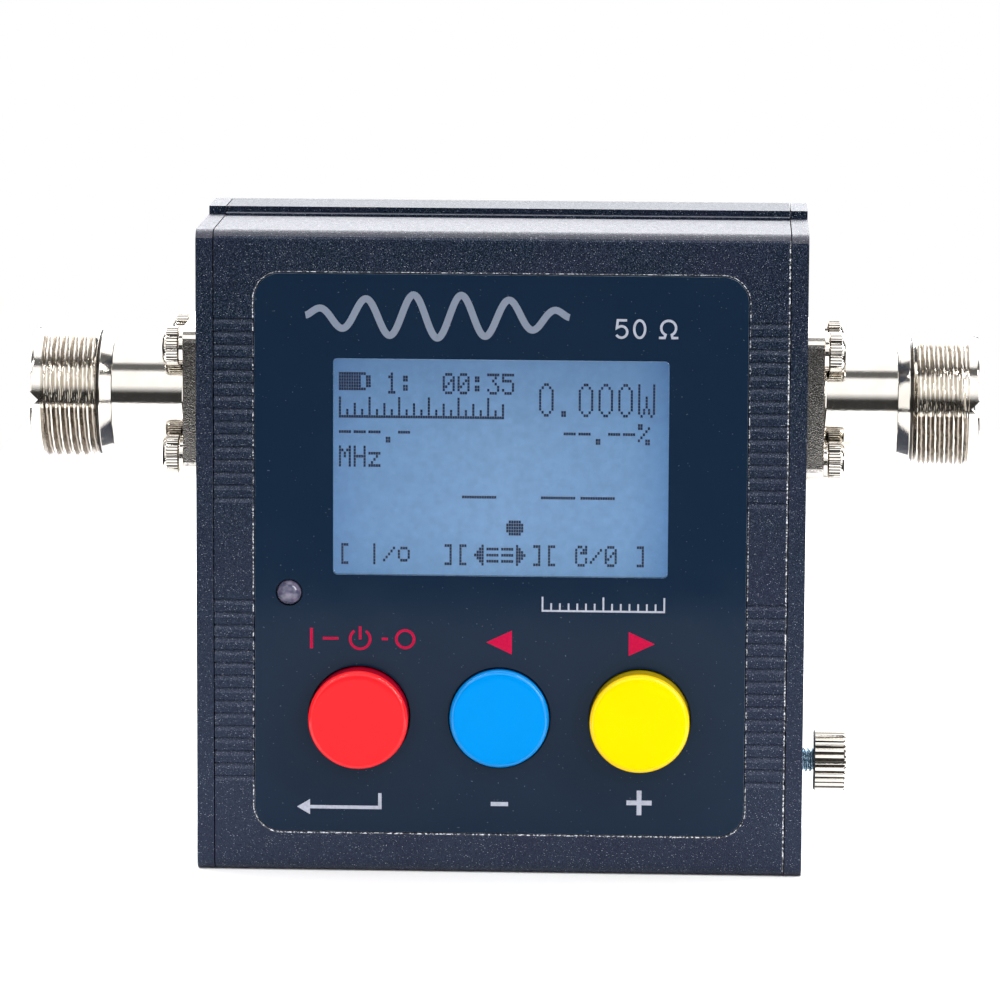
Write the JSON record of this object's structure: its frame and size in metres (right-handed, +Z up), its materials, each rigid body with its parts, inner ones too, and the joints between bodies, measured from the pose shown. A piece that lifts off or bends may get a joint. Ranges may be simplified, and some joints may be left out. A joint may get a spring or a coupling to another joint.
{
  "type": "swr meter",
  "caption": "Pocket SWR and power meter: slim metal case, threaded UHF socket at each end, blue display, red, blue and yellow push buttons and a ground thumb screw.",
  "frame": {"origin": "underside of the case, midway between its end plates and midway between its front and back faces", "axes": "+X along the antenna line towards the end with the ground screw, -Y out of the display, +Z up"},
  "size_m": [0.11, 0.031, 0.0756],
  "materials": {
    "case_paint": "fine powder coat, semi-matt",
    "panel_gloss": "glossy",
    "display_clear": "clear, polished",
    "lcd_face": "satin",
    "red_gloss": "glossy",
    "blue_gloss": "glossy",
    "yellow_gloss": "glossy",
    "nickel": "nickel plate, bright",
    "contact_plating": "bright",
    "ptfe": "satin",
    "black_steel": "black oxide",
    "steel": "satin",
    "tin_plate": "satin",
    "brass": "satin",
    "enamelled_copper": "glossy enamel",
    "ferrite": "matt",
    "board": "semi-gloss solder mask",
    "black_plastic": "satin",
    "white_plastic": "satin",
    "led_clear": "clear",
    "foam": "matt foam",
    "battery_foil": "crinkled foil",
    "red_wire": "satin",
    "black_wire": "satin"
  },
  "bodies": {
    "case": {"front_shell": "case_paint", "rear_shell": "case_paint", "left_end_plate": "case_paint", "right_end_plate": "case_paint", "left_end_plate_screws": "black_steel", "right_end_plate_screws": "black_steel", "front_panel": "panel_gloss", "display_window": "display_clear", "red_switch_body": "black_plastic", "blue_switch_body": "black_plastic", "yellow_switch_body": "black_plastic", "status_led": "led_clear", "left_connector_body": "nickel", "right_connector_body": "nickel", "left_insulator": "ptfe", "right_insulator": "ptfe", "left_centre_contact": "contact_plating", "right_centre_contact": "contact_plating", "left_connector_screws": "nickel", "right_connector_screws": "nickel", "left_connector_washers": "nickel", "right_connector_washers": "nickel", "lcd_glass": "lcd_face", "lcd_backlight": "white_plastic", "lcd_foam_pad": "foam", "main_board": "board", "board_standoffs": "brass", "board_screws": "steel", "controller_chip": "black_plastic", "power_inductor": "ferrite", "charging_socket": "steel", "coupler_board": "board", "coupler_standoffs": "brass", "coupler_screws": "steel", "rf_shield": "tin_plate", "through_line": "brass", "transformer_core": "ferrite", "transformer_winding": "enamelled_copper", "board_link_connector": "black_plastic", "battery_pack": "battery_foil", "battery_pad": "foam", "battery_lead_red": "red_wire", "battery_lead_black": "black_wire", "battery_plug": "white_plastic", "battery_socket": "white_plastic"},
    "red_button": {"red_button_cap": "red_gloss", "red_switch_plunger": "black_plastic"},
    "blue_button": {"blue_button_cap": "blue_gloss", "blue_switch_plunger": "black_plastic"},
    "yellow_button": {"yellow_button_cap": "yellow_gloss", "yellow_switch_plunger": "black_plastic"},
    "ground_screw_stud": {"ground_screw_stud": "nickel"},
    "ground_screw_knob": {"ground_screw_knob": "nickel"}
  },
  "joints": [
    {"name": "red_button_press", "type": "slide", "parent": "case", "child": "red_button", "axis": [0, 1, 0], "range_m": [0, 0.0003], "stiffness_N_per_m": 4000},
    {"name": "blue_button_press", "type": "slide", "parent": "case", "child": "blue_button", "axis": [0, 1, 0], "range_m": [0, 0.0003], "stiffness_N_per_m": 4000},
    {"name": "yellow_button_press", "type": "slide", "parent": "case", "child": "yellow_button", "axis": [0, 1, 0], "range_m": [0, 0.0003], "stiffness_N_per_m": 4000},
    {"name": "ground_screw_advance", "type": "slide", "parent": "case", "child": "ground_screw_stud", "axis": [-1, 0, 0], "range_m": [-0.002, 0.00135]},
    {"name": "ground_screw_turn", "type": "hinge", "parent": "ground_screw_stud", "child": "ground_screw_knob", "pos_m": [0.0364, 0, 0.0111], "axis": [1, 0, 0], "range_deg": [-975, 1443]}
  ],
  "couplings": [
    {"joint": "ground_screw_turn", "follows": "ground_screw_advance", "rad_per_m": -12566}
  ]
}
